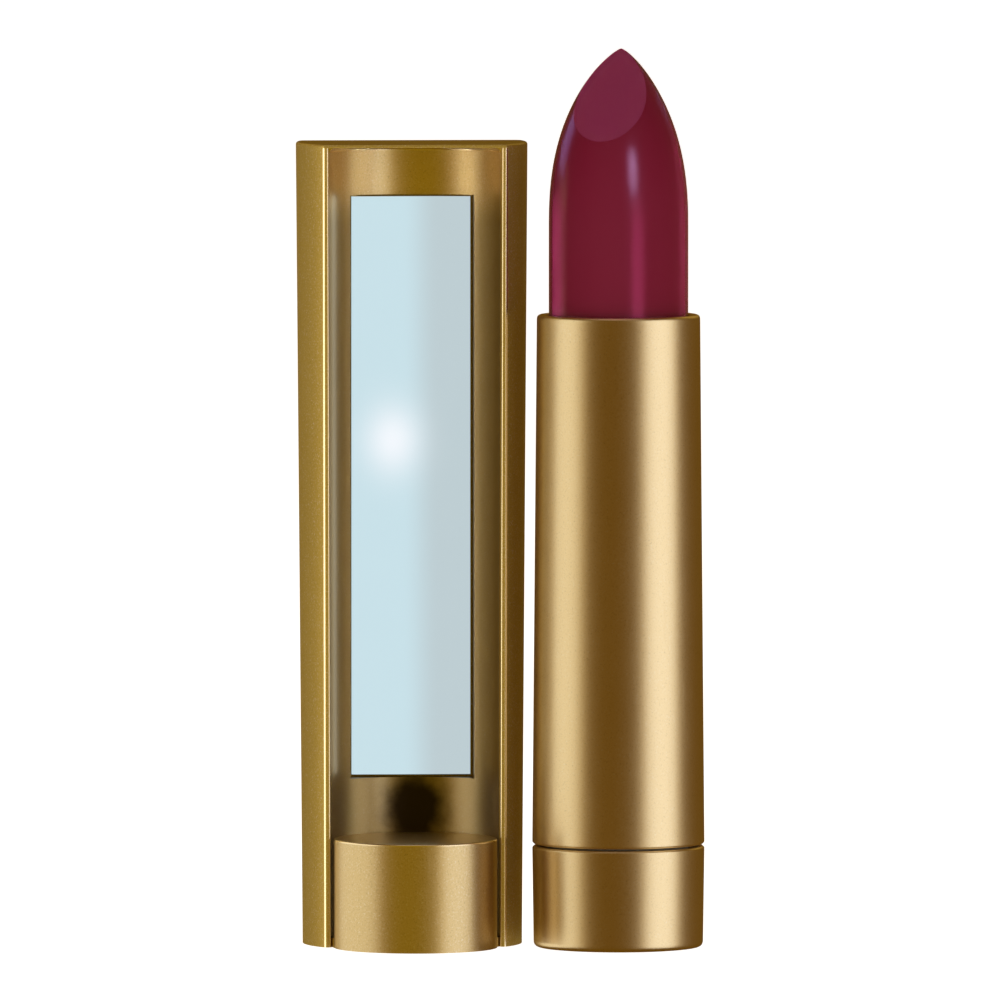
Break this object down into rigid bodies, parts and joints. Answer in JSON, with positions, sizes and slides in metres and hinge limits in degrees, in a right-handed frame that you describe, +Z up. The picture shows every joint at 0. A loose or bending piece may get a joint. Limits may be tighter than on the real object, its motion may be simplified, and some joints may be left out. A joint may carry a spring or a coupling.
{
  "type": "lipstick with mirror case",
  "caption": "Swivel lipstick in a tapered gold barrel, wound out, beside its open-fronted gold mirror case with a round foot block.",
  "frame": {"origin": "middle of the set's bounding box in X and Y, on the surface it stands on", "axes": "+Z up, along the lipstick; -Y is the front, which the mirror faces; the lipstick stands at +X and the mirror case at -X"},
  "size_m": [0.0352, 0.0164, 0.078],
  "materials": {
    "barrel_gold": "satin gold anodised, fine pearl grain",
    "case_gold": "satin gold lacquer over plastic",
    "lipstick_wax": "smooth satin wax, berry red",
    "spiral_brass": "drawn",
    "mechanism_plastic": "moulded",
    "weight_steel": "turned",
    "ring_steel": "spring steel",
    "brake_rubber": "matt",
    "label_film": "blank film",
    "mirror": "silvered glass",
    "tape_foam": "foam tape"
  },
  "bodies": {
    "barrel": {"barrel": "barrel_gold", "spiral_sleeve": "spiral_brass", "barrel_collar": "spiral_brass"},
    "base": {"base_cap": "barrel_gold", "base_hub": "mechanism_plastic", "base_weight": "weight_steel", "shade_label": "label_film", "guide_tube": "mechanism_plastic", "retaining_ring": "ring_steel", "brake_ring": "brake_rubber"},
    "carrier": {"carrier_cup": "mechanism_plastic", "bullet": "lipstick_wax"},
    "case": {"case_shell": "case_gold", "case_liner": "case_gold", "case_foot": "case_gold", "mirror_glass": "mirror", "mirror_tape": "tape_foam"}
  },
  "joints": [
    {"name": "base_twist", "type": "hinge", "parent": "barrel", "child": "base", "pos_m": [0.01013, -0.00076, 0], "axis": [0, 0, 1], "range_deg": [0, 540]},
    {"name": "carrier_slide", "type": "slide", "parent": "base", "child": "carrier", "axis": [0, 0, 1], "range_m": [-0.02451, 0]},
    {"name": "case_set_aside", "type": "slide", "parent": "barrel", "child": "case", "axis": [1, 0, 0], "range_m": [-0.04, 0]}
  ],
  "couplings": [
    {"joint": "carrier_slide", "follows": "base_twist", "m_per_rad": -0.0025995}
  ]
}
